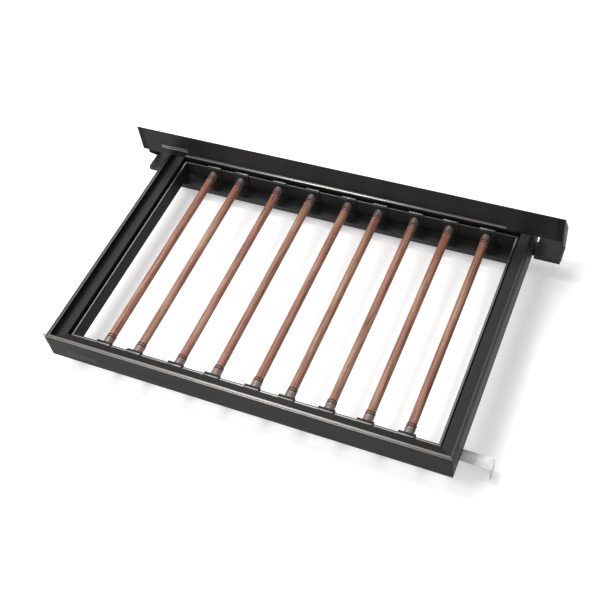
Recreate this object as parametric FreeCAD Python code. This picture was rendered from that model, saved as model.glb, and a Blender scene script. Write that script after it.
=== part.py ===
"""Pull-out trouser rack for the inside of a wardrobe, in millimetres.

A mitred aluminium frame carries nine rods on clips that slide along its inner lip.  The frame rides
on two three-part runners hidden under its side members.  Wall brackets, a cross bar and a tall rear
panel stay fixed in the cabinet.

While modelling, X is across the cabinet from its middle, Y runs back from the frame's front face and
Z is measured from the top of the frame's rim.  save() moves every piece so that the origin lies at
the middle of the rack's footprint, on its lowest plane.
"""
import FreeCAD, Part
import math
import os
from FreeCAD import Vector

# ---- driving dimensions ---------------------------------------------------------------------------
FRAME_WIDTH = 760.0
SIDE_SPACE = 52.0            # between the frame and each side of the cabinet
FRAME_DEPTH = 528.0
FRAME_HEIGHT = 54.0

# frame member section: distances in from the outer face, drops from the rim
SKIN = 1.8                   # outer wall
RIM_WIDTH = 7.0
RIM_THICKNESS = 2.5
RIM_ROUND = 1.4              # outer edge of the rim
RIM_GROOVE_INSET = 2.2       # shadow groove along the rim
RIM_GROOVE_WIDTH = 1.0
RIM_GROOVE_DEPTH = 0.7
WEB_DROP = 15.5              # sunk flat web
WEB_THICKNESS = 2.0
WEB_EDGE = 27.0              # where the web ends and the clip groove begins
GROOVE_DROP = 30.0           # floor of the clip groove
INNER_FACE = 35.0            # visible inner face of the member
INNER_SKIN = 2.0
LIP_DROP = 23.0              # top of the lip that the rod clips ride on
LIP_WIDTH = 4.5
LIP_THICKNESS = 3.0
LIP_ROUND = 0.8

# rods
ROD_COUNT = 9
ROD_MARGIN = 93.6            # even places of the outer rods from the frame's side faces
ROD_SHIFTS = (5.0, -4.0, 8.0, 9.0, 14.0, 7.0, 8.0, 5.0, 5.0)   # each rod slid from its even place
ROD_DIAMETER = 16.0
ROD_BORE = 13.0
ROD_DROP = 34.0              # rod axis below the rim
FERRULE_DIAMETER = 18.0
FERRULE_LENGTH = 15.0
PLUG_LENGTH = 12.0           # cross-ribbed plug in the rod's end
PLUG_RIB = 2.4
PLUG_CLEARANCE = 0.05

# rod clips
CLIP_WIDTH = 30.0
CLIP_THICKNESS = 2.5
CLIP_CLEARANCE = 0.15        # between clip and lip
CLIP_HOOK_THICKNESS = 1.8
CLIP_HOOK_BARB = 1.5         # reach of the barb under the lip
CLIP_HOOK_GAP = 0.5          # running gap round the lip's outer edge
CLIP_BOTTOM_DROP = 48.0
CLIP_CORNER = 5.0

# runners, one under each side member
RUNNER_INSET = 3.0           # outer edge of the runner from the frame's outer face
RUNNER_WIDTH = 20.0
RUNNER_GAUGE = 1.5
RUNNER_CHANNEL_HEIGHT = 9.0
RUNNER_LIP = 3.5
RUNNER_BELOW_FRAME = 6.0     # the fixed rail's base below the frame
ROLLER_DIAMETER = 3.4
ROLLER_GAP = 0.3             # above and below each roller
ROLLER_LENGTH = 9.0
ROLLER_COUNT = 3
ROLLER_PITCH = 48.0
CAGE_THICKNESS = 1.6
CAGE_WIDTH = 13.0
CAGE_SLOT_CLEARANCE = 0.25
CAGE_FRONT = 190.0           # rest place of each roller cage
HEAD_WIDTH = 14.0            # head and foot of the middle rail
FIXED_RAIL_INSET = 14.0      # both ends, from the frame's front and rear faces
MIDDLE_RAIL_FRONT = 22.0
MIDDLE_RAIL_SETBACK = 20.0
CARRIAGE_FRONT = 22.0
CARRIAGE_SETBACK = 6.0
CATCH_LENGTH = 17.0          # front catch between frame and carriage
CATCH_HEIGHT = 14.0
NOTCH_MARGIN = 0.5           # rear outer wall cut clear of the runner

# soft-close unit on each fixed rail
DAMPER_INSET = 16.0
DAMPER_WIDTH = 13.8
DAMPER_CLEARANCE = 2.0       # below the floor of the clip groove
DAMPER_SETBACK = 28.0        # from the frame's rear face
DAMPER_LENGTH = 120.0
DAMPER_SLOT_WIDTH = 4.4
DAMPER_SLOT_DEPTH = 8.0
DAMPER_SLOT_MARGIN = 2.0     # wall between the slot and the side nearer the rail
STRIKER_WIDTH = 2.4
STRIKER_LENGTH = 4.0
STRIKER_SETBACK = 58.0
STRIKER_LIFT = 1.0           # its lower end above the slot's floor
SLIDER_LENGTH = 14.0
SLIDER_CLEARANCE = 0.2

# corner keys
KEY_LEG = 40.0
KEY_THICKNESS = 2.0
KEY_TOP_DROP = 34.0
KEY_BOTTOM_MARGIN = 3.0      # above the frame's lower edge

# rear panel, fixed above the frame
PANEL_SETBACK = 49.2         # panel's front from the frame's rear face
PANEL_BOTTOM = 8.0           # above the rim
PANEL_HEIGHT = 60.2
PANEL_DEPTH = 14.0
PANEL_SKIN = 2.0
PANEL_ROUND = 2.4            # lower front edge
PANEL_TOP_ROUND = 1.2        # upper front edge
PANEL_TOP_FALL = 16.0        # how far the top slopes down to the back
SCREW_PORT_GAP = 4.2         # between the two ribs that the panel's screws cut into
SCREW_PORT_WALL = 1.6
PANEL_CAP_WIDTH = 14.0
CAP_WALL_GAP = 0.5
CAP_TONGUE_LENGTH = 10.0
CAP_TONGUE_CLEARANCE = 0.2

# cross bar under the rear of the fixed rails
BAR_SETBACK = 22.0           # from the frame's rear face
BAR_DEPTH = 36.0
BAR_HEIGHT = 12.0
BAR_SKIN = 1.5
BAR_END_INSET = 4.0          # from the frame's side faces

# wall brackets
BRACKET_THICKNESS = 2.0
BRACKET_DROP = 38.0          # wall flange below the rail's base
BRACKET_ROUND = 6.0
FRONT_BRACKET_PLACE = 37.0
FRONT_BRACKET_WIDTH = 22.0
REAR_SHELF_DEPTH = 34.0
REAR_TAB_TOP = 46.0          # panel tab and the arm that carries it, above the rim
REAR_TAB_REACH = 40.0        # panel tab in from the wall
ARM_FOOT_WIDTH = 15.0        # sloping arm where it leaves the block
ARM_BEND_DROP = 15.0         # where its front edge turns upright
ARM_BACK_DROP = 2.0          # where its back edge starts to slope forward
BLOCK_TOP_DROP = 42.0
BLOCK_FRAME_GAP = 4.0
BLOCK_WALL = 3.0
BLOCK_LIP = 10.0             # front lip of the block's roof
WALL_HOLE_DIAMETER = 5.2
FRONT_HOLE_EDGE = 10.0       # lower front wall hole from the bracket's bottom edge
FRONT_HOLE_SPACING = 18.0
REAR_HOLE_LIFT = 8.0         # lower rear wall hole above the rail's base
REAR_HOLE_SPACING = 60.0
REAR_HOLE_INSET = 18.0       # rear wall holes from the bracket's back edge

# ---- derived places -------------------------------------------------------------------------------
HALF_FRAME = FRAME_WIDTH / 2
HALF_CABINET = HALF_FRAME + SIDE_SPACE
ROD_PITCH = (FRAME_WIDTH - 2 * ROD_MARGIN) / (ROD_COUNT - 1)
CARRIAGE_TOP = -(WEB_DROP + WEB_THICKNESS)
RAIL_BASE = -(FRAME_HEIGHT + RUNNER_BELOW_FRAME)
RUNNER_AXIS = RUNNER_INSET + RUNNER_WIDTH / 2
ROLLER_SPACE = ROLLER_DIAMETER + 2 * ROLLER_GAP
HEAD_TOP = CARRIAGE_TOP - RUNNER_GAUGE - ROLLER_SPACE
FOOT_BOTTOM = RAIL_BASE + RUNNER_GAUGE + ROLLER_SPACE
RAIL_TOP = RAIL_BASE + RUNNER_CHANNEL_HEIGHT
CLIP_FACE = INNER_FACE + CLIP_CLEARANCE + CLIP_THICKNESS
DAMPER_TOP = -(GROOVE_DROP + WEB_THICKNESS + DAMPER_CLEARANCE)
STRIKER_FRONT = FRAME_DEPTH - STRIKER_SETBACK - STRIKER_LENGTH
PANEL_FACE = FRAME_DEPTH - PANEL_SETBACK
PANEL_BACK = PANEL_FACE + PANEL_DEPTH
PANEL_MIDDLE = PANEL_BOTTOM + PANEL_HEIGHT / 2
PANEL_HALF_WIDTH = HALF_CABINET - PANEL_CAP_WIDTH
BRACKET_BOTTOM = RAIL_BASE - BRACKET_DROP
BRACKET_REACH = HALF_FRAME - RUNNER_INSET - RUNNER_WIDTH
BAR_TOP = RAIL_BASE - BRACKET_THICKNESS
BAR_BACK = FRAME_DEPTH - BAR_SETBACK
BAR_HALF_LENGTH = HALF_FRAME - BAR_END_INSET
TO_ORIGIN = Vector(0, -FRAME_DEPTH / 2, -BRACKET_BOTTOM)
UP = Vector(0, 0, 1)
TINY = 1e-6                  # below any size here, for picking edges
PAST = 1.0                   # how far a cutting shape runs past the faces it cuts


# ---- general helpers ------------------------------------------------------------------------------
def save(name, *solids):
    """Write one node: a solid, or a group of separate solids, moved to the rack's origin."""
    shape = solids[0].copy() if len(solids) == 1 else Part.makeCompound([s.copy() for s in solids])
    shape.translate(TO_ORIGIN)
    shape.exportStep(f"parts/{name}.step")


def box(x0, x1, y0, y1, z0, z1):
    """Block between two corners, given in any order."""
    low = Vector(min(x0, x1), min(y0, y1), min(z0, z1))
    return Part.makeBox(abs(x1 - x0), abs(y1 - y0), abs(z1 - z0), low)


def outline_wire(path, place):
    """Closed wire through path; an item ("arc", through, end) is a round stretch."""
    start = path[0]
    here = start
    edges = []
    for item in path[1:] + [start]:
        if item[0] == "arc":
            edges.append(Part.Arc(place(*here), place(*item[1]), place(*item[2])).toShape())
            here = item[2]
        else:
            edges.append(Part.makeLine(place(*here), place(*item)))
            here = item
    return Part.Wire(edges)


def prism(path, place, along):
    """Outline drawn by place(u, v) and pushed along a vector."""
    return Part.Face(outline_wire(path, place)).extrude(along)


def round_corner(corner, radius, turn_u, turn_v):
    """Middle of the arc that rounds a convex corner; turn_u and turn_v point into the outline."""
    slack = radius * (1 - math.sqrt(0.5))
    u, v = corner
    return (u + turn_u * slack, v + turn_v * slack)


def cylinder(diameter, base, direction, length):
    return Part.makeCylinder(diameter / 2, length, base, direction)


def sleeve(outer, inner, base, direction, length):
    return cylinder(outer, base, direction, length).cut(cylinder(inner, base, direction, length))


def mirror_x(shape):
    return shape.mirror(Vector(0, 0, 0), Vector(1, 0, 0))


def mirror_depth(shape):
    """Mirror front to back about the middle of the frame."""
    return shape.mirror(Vector(0, FRAME_DEPTH / 2, 0), Vector(0, 1, 0))


# ---- frame ----------------------------------------------------------------------------------------
def member_path():
    """Section of every frame member: rim, sunk web, clip groove, lip and inner wall."""
    inner_back = INNER_FACE - INNER_SKIN
    lip_back = INNER_FACE - LIP_WIDTH
    lip_bottom = -(LIP_DROP + LIP_THICKNESS)
    lip_round_end = -(LIP_DROP + LIP_ROUND)
    groove_end = RIM_GROOVE_INSET + RIM_GROOVE_WIDTH
    under_web = -(WEB_DROP + WEB_THICKNESS)
    under_groove = -(GROOVE_DROP + WEB_THICKNESS)
    return [
        (0, -FRAME_HEIGHT),
        (0, -RIM_ROUND),
        ("arc", round_corner((0, 0), RIM_ROUND, 1, -1), (RIM_ROUND, 0)),
        (RIM_GROOVE_INSET, 0),
        (RIM_GROOVE_INSET, -RIM_GROOVE_DEPTH),
        (groove_end, -RIM_GROOVE_DEPTH),
        (groove_end, 0),
        (RIM_WIDTH, 0),
        (RIM_WIDTH, -RIM_THICKNESS),
        (SKIN, -RIM_THICKNESS),
        (SKIN, -WEB_DROP),
        (WEB_EDGE, -WEB_DROP),
        (WEB_EDGE, -GROOVE_DROP),
        (inner_back, -GROOVE_DROP),
        (inner_back, lip_bottom),
        (lip_back, lip_bottom),
        (lip_back, lip_round_end),
        ("arc", round_corner((lip_back, -LIP_DROP), LIP_ROUND, 1, -1), (lip_back + LIP_ROUND, -LIP_DROP)),
        (INNER_FACE - LIP_ROUND, -LIP_DROP),
        ("arc", round_corner((INNER_FACE, -LIP_DROP), LIP_ROUND, -1, -1), (INNER_FACE, lip_round_end)),
        (INNER_FACE, -FRAME_HEIGHT),
        (inner_back, -FRAME_HEIGHT),
        (inner_back, under_groove),
        (WEB_EDGE - WEB_THICKNESS, under_groove),
        (WEB_EDGE - WEB_THICKNESS, under_web),
        (SKIN, under_web),
        (SKIN, -FRAME_HEIGHT),
    ]


def frame_member(length):
    """Mitred member along X with its outer face at Y = 0, centred on X = 0."""
    bar = prism(member_path(), lambda d, z: Vector(-length / 2, d, z), Vector(length, 0, 0))
    mitre = [
        (-length / 2, 0),
        (length / 2, 0),
        (length / 2 - INNER_FACE, INNER_FACE),
        (INNER_FACE - length / 2, INNER_FACE),
    ]
    plan = prism(mitre, lambda x, y: Vector(x, y, -FRAME_HEIGHT), Vector(0, 0, FRAME_HEIGHT))
    return bar.common(plan)


def front_member():
    return frame_member(FRAME_WIDTH)


def rear_member():
    """Front member turned round, its outer wall cut away where the runners pass."""
    member = mirror_depth(frame_member(FRAME_WIDTH))
    inner = INNER_FACE - INNER_SKIN - NOTCH_MARGIN
    for side in (-1, 1):
        notch = box(side * (HALF_FRAME - SKIN), side * (HALF_FRAME - inner),
                    FRAME_DEPTH - SKIN, FRAME_DEPTH + PAST, -FRAME_HEIGHT - PAST, CARRIAGE_TOP)
        member = member.cut(notch)
    return member


def side_member():
    """Left member."""
    member = frame_member(FRAME_DEPTH)
    member.rotate(Vector(0, 0, 0), UP, -90)
    member.translate(Vector(-HALF_FRAME, FRAME_DEPTH / 2, 0))
    return member


def corner_key():
    """L-shaped key in the front left corner, held against the inner walls."""
    corner = INNER_FACE - INNER_SKIN
    far = corner + KEY_LEG - KEY_THICKNESS
    near = corner - KEY_THICKNESS
    path = [(near, near), (far, near), (far, corner), (corner, corner), (corner, far), (near, far)]
    bottom = KEY_BOTTOM_MARGIN - FRAME_HEIGHT
    return prism(path, lambda x, y: Vector(x - HALF_FRAME, y, bottom), UP * (-KEY_TOP_DROP - bottom))


def four_corners(shape):
    """A front left shape and its copies in the other three corners."""
    left = [shape, mirror_depth(shape)]
    return left + [mirror_x(s) for s in left]


# ---- rods -----------------------------------------------------------------------------------------
def rod_places():
    """X of each rod at rest."""
    first = ROD_MARGIN - HALF_FRAME
    return [first + ROD_PITCH * k + ROD_SHIFTS[k] for k in range(ROD_COUNT)]


def rod_tube(x):
    """Rod between its two ferrules."""
    start = CLIP_FACE + FERRULE_LENGTH
    length = FRAME_DEPTH - 2 * start
    return sleeve(ROD_DIAMETER, ROD_BORE, Vector(x, start, -ROD_DROP), Vector(0, 1, 0), length)


def ferrule(x):
    """Front ferrule: a collar seated on the clip, with a cross-ribbed plug in the rod's end."""
    collar = cylinder(FERRULE_DIAMETER, Vector(x, CLIP_FACE, -ROD_DROP), Vector(0, 1, 0), FERRULE_LENGTH)
    half_rib = PLUG_RIB / 2
    reach = math.sqrt((ROD_BORE / 2 - PLUG_CLEARANCE) ** 2 - half_rib ** 2)
    back = CLIP_FACE + FERRULE_LENGTH / 2
    front = CLIP_FACE + FERRULE_LENGTH + PLUG_LENGTH
    upright = box(x - half_rib, x + half_rib, back, front, -ROD_DROP - reach, -ROD_DROP + reach)
    level = box(x - reach, x + reach, back, front, -ROD_DROP - half_rib, -ROD_DROP + half_rib)
    return collar.fuse(upright).fuse(level).removeSplitter()


def rod_clip(x):
    """Front clip: a plate against the inner wall, hooked over the lip."""
    plate_back = INNER_FACE + CLIP_CLEARANCE
    hook_under = -LIP_DROP + CLIP_CLEARANCE
    hook_top = hook_under + CLIP_HOOK_THICKNESS
    leg_inner = INNER_FACE - LIP_WIDTH - CLIP_HOOK_GAP
    leg_outer = leg_inner - CLIP_HOOK_THICKNESS
    barb_top = -(LIP_DROP + LIP_THICKNESS + CLIP_HOOK_GAP)
    barb_bottom = barb_top - CLIP_HOOK_THICKNESS
    path = [
        (CLIP_FACE, -CLIP_BOTTOM_DROP),
        (CLIP_FACE, hook_top),
        (leg_outer, hook_top),
        (leg_outer, barb_bottom),
        (leg_inner + CLIP_HOOK_BARB, barb_bottom),
        (leg_inner + CLIP_HOOK_BARB, barb_top),
        (leg_inner, barb_top),
        (leg_inner, hook_under),
        (plate_back, hook_under),
        (plate_back, -CLIP_BOTTOM_DROP),
    ]
    left = x - CLIP_WIDTH / 2
    clip = prism(path, lambda d, z: Vector(left, d, z), Vector(CLIP_WIDTH, 0, 0))
    lower_corners = [e for e in clip.Edges
                     if abs(e.BoundBox.ZMax + CLIP_BOTTOM_DROP) < TINY and e.BoundBox.XLength < TINY]
    return clip.makeChamfer(CLIP_CORNER, lower_corners)


# ---- runners --------------------------------------------------------------------------------------
def runner_part(path, front, back):
    """Left runner section, u in from the frame's outer face and v up, drawn out from front to back."""
    return prism(path, lambda u, v: Vector(u - HALF_FRAME, front, v), Vector(0, back - front, 0))


def channel_path(base, opening):
    """Lipped channel; opening is 1 for a channel open upwards and -1 for one open downwards."""
    left = RUNNER_INSET
    right = RUNNER_INSET + RUNNER_WIDTH
    rim = base + opening * RUNNER_CHANNEL_HEIGHT
    floor = base + opening * RUNNER_GAUGE
    lip = rim - opening * RUNNER_GAUGE
    return [
        (left, base),
        (right, base),
        (right, rim),
        (right - RUNNER_GAUGE - RUNNER_LIP, rim),
        (right - RUNNER_GAUGE - RUNNER_LIP, lip),
        (right - RUNNER_GAUGE, lip),
        (right - RUNNER_GAUGE, floor),
        (left + RUNNER_GAUGE, floor),
        (left + RUNNER_GAUGE, lip),
        (left + RUNNER_GAUGE + RUNNER_LIP, lip),
        (left + RUNNER_GAUGE + RUNNER_LIP, rim),
        (left, rim),
    ]


def fixed_rail():
    return runner_part(channel_path(RAIL_BASE, 1), FIXED_RAIL_INSET, FRAME_DEPTH - FIXED_RAIL_INSET)


def carriage():
    """Moving channel screwed under the side member, with the striker for the soft close."""
    rail = runner_part(channel_path(CARRIAGE_TOP, -1), CARRIAGE_FRONT, FRAME_DEPTH - CARRIAGE_SETBACK)
    slot_middle = DAMPER_INSET + DAMPER_SLOT_MARGIN + DAMPER_SLOT_WIDTH / 2 - HALF_FRAME
    lip_middle = CARRIAGE_TOP - RUNNER_CHANNEL_HEIGHT + RUNNER_GAUGE / 2
    striker_bottom = DAMPER_TOP - DAMPER_SLOT_DEPTH + STRIKER_LIFT
    striker = box(slot_middle - STRIKER_WIDTH / 2, slot_middle + STRIKER_WIDTH / 2,
                  STRIKER_FRONT, STRIKER_FRONT + STRIKER_LENGTH, striker_bottom, lip_middle)
    return rail.fuse(striker).removeSplitter()


def middle_rail():
    """Rail with a head in the carriage, a foot in the fixed rail and a web between them."""
    middle = RUNNER_AXIS
    half_head = HEAD_WIDTH / 2
    foot_top = FOOT_BOTTOM + RUNNER_GAUGE
    head_bottom = HEAD_TOP - RUNNER_GAUGE
    path = [
        (middle - half_head, FOOT_BOTTOM),
        (middle + half_head, FOOT_BOTTOM),
        (middle + half_head, foot_top),
        (middle + RUNNER_GAUGE, foot_top),
        (middle + RUNNER_GAUGE, head_bottom),
        (middle + half_head, head_bottom),
        (middle + half_head, HEAD_TOP),
        (middle - half_head, HEAD_TOP),
        (middle - half_head, head_bottom),
        (middle - RUNNER_GAUGE, head_bottom),
        (middle - RUNNER_GAUGE, foot_top),
        (middle - half_head, foot_top),
    ]
    return runner_part(path, MIDDLE_RAIL_FRONT, FRAME_DEPTH - MIDDLE_RAIL_SETBACK)


def roller_cage(space_bottom):
    """Cage strip and its rollers in the space above space_bottom: the strip, then each roller."""
    middle = space_bottom + ROLLER_SPACE / 2
    x = RUNNER_AXIS - HALF_FRAME
    length = ROLLER_PITCH * ROLLER_COUNT
    strip = box(x - CAGE_WIDTH / 2, x + CAGE_WIDTH / 2, CAGE_FRONT, CAGE_FRONT + length,
                middle - CAGE_THICKNESS / 2, middle + CAGE_THICKNESS / 2)
    rollers = []
    for k in range(ROLLER_COUNT):
        y = CAGE_FRONT + ROLLER_PITCH * (k + 0.5)
        slot_half = ROLLER_DIAMETER / 2 + CAGE_SLOT_CLEARANCE
        reach = ROLLER_LENGTH / 2 + CAGE_SLOT_CLEARANCE
        strip = strip.cut(box(x - reach, x + reach, y - slot_half, y + slot_half,
                              middle - PAST, middle + PAST))
        start = Vector(x - ROLLER_LENGTH / 2, y, middle)
        rollers.append(cylinder(ROLLER_DIAMETER, start, Vector(1, 0, 0), ROLLER_LENGTH))
    return [strip] + rollers


def front_catch():
    """Catch block between the front of the carriage and the frame's front wall."""
    x0 = RUNNER_INSET - HALF_FRAME
    x1 = x0 + RUNNER_WIDTH
    back = CARRIAGE_FRONT
    front = back - CATCH_LENGTH
    step = back - CATCH_LENGTH / 2
    lever = CARRIAGE_TOP - CATCH_HEIGHT / 2
    bottom = CARRIAGE_TOP - CATCH_HEIGHT
    path = [
        (front, CARRIAGE_TOP),
        (back, CARRIAGE_TOP),
        (back, lever),
        (step, lever),
        (step, bottom),
        (front, bottom),
    ]
    return prism(path, lambda y, z: Vector(x0, y, z), Vector(x1 - x0, 0, 0))


def soft_close_unit():
    """Damper housing on the fixed rail's lip, with the slider that the striker pushes."""
    x0 = DAMPER_INSET - HALF_FRAME
    back = FRAME_DEPTH - DAMPER_SETBACK
    front = back - DAMPER_LENGTH
    housing = box(x0, x0 + DAMPER_WIDTH, front, back, RAIL_TOP, DAMPER_TOP)
    slot_x = x0 + DAMPER_SLOT_MARGIN
    slider_front = STRIKER_FRONT + STRIKER_LENGTH + SLIDER_CLEARANCE
    slider_back = slider_front + SLIDER_LENGTH
    slot_floor = DAMPER_TOP - DAMPER_SLOT_DEPTH
    slot = box(slot_x, slot_x + DAMPER_SLOT_WIDTH, front - PAST, slider_back + SLIDER_CLEARANCE,
               slot_floor, DAMPER_TOP + PAST)
    slider = box(slot_x + SLIDER_CLEARANCE, slot_x + DAMPER_SLOT_WIDTH - SLIDER_CLEARANCE,
                 slider_front, slider_back, slot_floor, DAMPER_TOP - SLIDER_CLEARANCE)
    return [housing.cut(slot), slider]


# ---- fixed rear structure -------------------------------------------------------------------------
def panel_top(y):
    """Height of the panel's top, which slopes down from its front edge to its back."""
    start = PANEL_FACE + PANEL_TOP_ROUND
    return PANEL_BOTTOM + PANEL_HEIGHT - PANEL_TOP_FALL * (y - start) / (PANEL_BACK - start)


def panel_lining(y):
    """Height of the underside of the sloping top."""
    slope = PANEL_TOP_FALL / (PANEL_DEPTH - PANEL_TOP_ROUND)
    return panel_top(y) - PANEL_SKIN * math.hypot(1, slope)


def panel_path():
    """Panel or end cap section, open to the back: face, level lower return, sloping upper return."""
    low = PANEL_BOTTOM
    high = PANEL_BOTTOM + PANEL_HEIGHT
    inner_face = PANEL_FACE + PANEL_SKIN
    return [
        (PANEL_BACK, low),
        (PANEL_FACE + PANEL_ROUND, low),
        ("arc", round_corner((PANEL_FACE, low), PANEL_ROUND, 1, 1), (PANEL_FACE, low + PANEL_ROUND)),
        (PANEL_FACE, high - PANEL_TOP_ROUND),
        ("arc", round_corner((PANEL_FACE, high), PANEL_TOP_ROUND, 1, -1),
         (PANEL_FACE + PANEL_TOP_ROUND, high)),
        (PANEL_BACK, panel_top(PANEL_BACK)),
        (PANEL_BACK, panel_lining(PANEL_BACK)),
        (inner_face, panel_lining(inner_face)),
        (inner_face, low + PANEL_SKIN),
        (PANEL_BACK, low + PANEL_SKIN),
    ]


def panel_length(start, end):
    """The panel's section drawn out from start to end along X."""
    return prism(panel_path(), lambda y, z: Vector(start, y, z), Vector(end - start, 0, 0))


def rear_panel():
    """Tall panel with a screw port between two ribs on its back."""
    panel = panel_length(-PANEL_HALF_WIDTH, PANEL_HALF_WIDTH)
    port_half = SCREW_PORT_GAP / 2
    for side in (-1, 1):
        rib = box(-PANEL_HALF_WIDTH, PANEL_HALF_WIDTH, PANEL_FACE + PANEL_SKIN, PANEL_BACK,
                  PANEL_MIDDLE + side * port_half, PANEL_MIDDLE + side * (port_half + SCREW_PORT_WALL))
        panel = panel.fuse(rib)
    return panel.removeSplitter()


def panel_end_cap():
    """Left end cap: closes the panel's end and plugs into it with two tongues."""
    outer = CAP_WALL_GAP - HALF_CABINET
    inner = -PANEL_HALF_WIDTH
    inner_face = PANEL_FACE + PANEL_SKIN
    wall_path = [
        (inner_face, PANEL_BOTTOM + PANEL_SKIN),
        (PANEL_BACK, PANEL_BOTTOM + PANEL_SKIN),
        (PANEL_BACK, panel_lining(PANEL_BACK)),
        (inner_face, panel_lining(inner_face)),
    ]
    end_wall = prism(wall_path, lambda y, z: Vector(outer, y, z), Vector(PANEL_SKIN, 0, 0))
    cap = panel_length(outer, inner).fuse(end_wall)
    tongue_front = inner_face + CAP_TONGUE_CLEARANCE
    inset = PANEL_SKIN + CAP_TONGUE_CLEARANCE
    levels = (PANEL_BOTTOM + inset, panel_lining(PANEL_BACK) - inset)
    for level in levels:
        tongue = box(outer + PANEL_SKIN / 2, inner + CAP_TONGUE_LENGTH,
                     tongue_front, PANEL_BACK - PANEL_SKIN, level, level + PANEL_SKIN)
        web = box(outer + PANEL_SKIN / 2, inner - CAP_TONGUE_CLEARANCE,
                  PANEL_FACE + PANEL_SKIN / 2, PANEL_BACK - PANEL_SKIN,
                  level - CAP_TONGUE_CLEARANCE, level + PANEL_SKIN)
        cap = cap.fuse(tongue).fuse(web)
    return cap.removeSplitter()


def cross_bar():
    """Rectangular tube that ties the two fixed rails together."""
    front = BAR_BACK - BAR_DEPTH
    bar = box(-BAR_HALF_LENGTH, BAR_HALF_LENGTH, front, BAR_BACK, BAR_TOP - BAR_HEIGHT, BAR_TOP)
    bore = box(-BAR_HALF_LENGTH - PAST, BAR_HALF_LENGTH + PAST, front + BAR_SKIN, BAR_BACK - BAR_SKIN,
               BAR_TOP - BAR_HEIGHT + BAR_SKIN, BAR_TOP - BAR_SKIN)
    return bar.cut(bore)


def shelf(y0, y1):
    """Horizontal leg of a left bracket, under the fixed rail."""
    return box(-HALF_CABINET, -BRACKET_REACH, y0, y1, RAIL_BASE - BRACKET_THICKNESS, RAIL_BASE)


def drill_wall(bracket, y, low, spacing):
    """Two wall holes in an upright line, the lower one at height low."""
    for z in (low, low + spacing):
        start = Vector(-HALF_CABINET - PAST, y, z)
        drill = cylinder(WALL_HOLE_DIAMETER, start, Vector(1, 0, 0), BRACKET_THICKNESS + 2 * PAST)
        bracket = bracket.cut(drill)
    return bracket


def front_bracket():
    """Left front bracket: an angle with two wall holes one above the other."""
    y0 = FRONT_BRACKET_PLACE
    y1 = y0 + FRONT_BRACKET_WIDTH
    flange = box(-HALF_CABINET, BRACKET_THICKNESS - HALF_CABINET, y0, y1, BRACKET_BOTTOM, RAIL_BASE)
    bracket = shelf(y0, y1).fuse(flange).removeSplitter()
    lower_corners = [e for e in bracket.Edges
                     if abs(e.BoundBox.ZMax - BRACKET_BOTTOM) < TINY and e.BoundBox.YLength < TINY]
    bracket = bracket.makeFillet(BRACKET_ROUND, lower_corners)
    return drill_wall(bracket, (y0 + y1) / 2, BRACKET_BOTTOM + FRONT_HOLE_EDGE, FRONT_HOLE_SPACING)


def rear_bracket():
    """Left rear bracket: wall plate, shelf, lipped roof and the arm and tab that hold the panel."""
    wall = -HALF_CABINET
    back = FRAME_DEPTH
    arm = [
        (back - ARM_FOOT_WIDTH, -BLOCK_TOP_DROP),
        (PANEL_BACK, -ARM_BEND_DROP),
        (PANEL_BACK, REAR_TAB_TOP),
        (PANEL_BACK + BRACKET_THICKNESS, REAR_TAB_TOP),
        (back, -ARM_BACK_DROP),
        (back, -BLOCK_TOP_DROP),
    ]
    plate = prism(arm, lambda y, z: Vector(wall, y, z), Vector(BRACKET_THICKNESS, 0, 0))
    tab = box(wall, wall + REAR_TAB_REACH, PANEL_BACK, PANEL_BACK + BRACKET_THICKNESS,
              PANEL_BOTTOM + PANEL_SKIN, REAR_TAB_TOP)
    front = PANEL_FACE
    block_side = -HALF_FRAME - BLOCK_FRAME_GAP
    roof = box(wall, block_side, front, back, -BLOCK_TOP_DROP - BLOCK_WALL, -BLOCK_TOP_DROP)
    lip = box(wall, block_side, front, front + BLOCK_WALL, -BLOCK_TOP_DROP - BLOCK_LIP, -BLOCK_TOP_DROP)
    lower = box(wall, wall + BRACKET_THICKNESS, back - REAR_SHELF_DEPTH, back,
                RAIL_BASE - BRACKET_THICKNESS, -BLOCK_TOP_DROP)
    bracket = roof.fuse(lip).fuse(plate).fuse(tab).fuse(lower).fuse(shelf(back - REAR_SHELF_DEPTH, back))
    bracket = bracket.removeSplitter()
    return drill_wall(bracket, back - REAR_HOLE_INSET, RAIL_BASE + REAR_HOLE_LIFT, REAR_HOLE_SPACING)


# ---- build ----------------------------------------------------------------------------------------
def both_sides(shapes):
    return shapes + [mirror_x(s) for s in shapes]


def save_pair(name, solids):
    """A left node and its mirror image on the right."""
    save(f"left_{name}", *solids)
    save(f"right_{name}", *[mirror_x(s) for s in solids])


def save_frame():
    save("front_member", front_member())
    save("rear_member", rear_member())
    save_pair("member", [side_member()])
    save("corner_keys", *four_corners(corner_key()))


def save_rods():
    for number, x in enumerate(rod_places(), start=1):
        save(f"rod_tube_{number}", rod_tube(x))
        for name, piece in (("ferrules", ferrule), ("clips", rod_clip)):
            front = piece(x)
            save(f"rod_{name}_{number}", front, mirror_depth(front))


def save_runners():
    save_pair("fixed_rail", [fixed_rail()])
    save_pair("middle_rail", [middle_rail()])
    save_pair("carriage", [carriage()])
    save_pair("lower_rollers", roller_cage(RAIL_BASE + RUNNER_GAUGE))
    save_pair("upper_rollers", roller_cage(HEAD_TOP))
    save("front_catches", *both_sides([front_catch()]))
    save("soft_close_units", *both_sides(soft_close_unit()))


def save_fixed_structure():
    save("rear_panel", rear_panel())
    save("panel_end_caps", *both_sides([panel_end_cap()]))
    save("cross_bar", cross_bar())
    save("front_brackets", *both_sides([front_bracket()]))
    save("rear_brackets", *both_sides([rear_bracket()]))


os.makedirs("parts", exist_ok=True)
save_frame()
save_rods()
save_runners()
save_fixed_structure()
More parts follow.
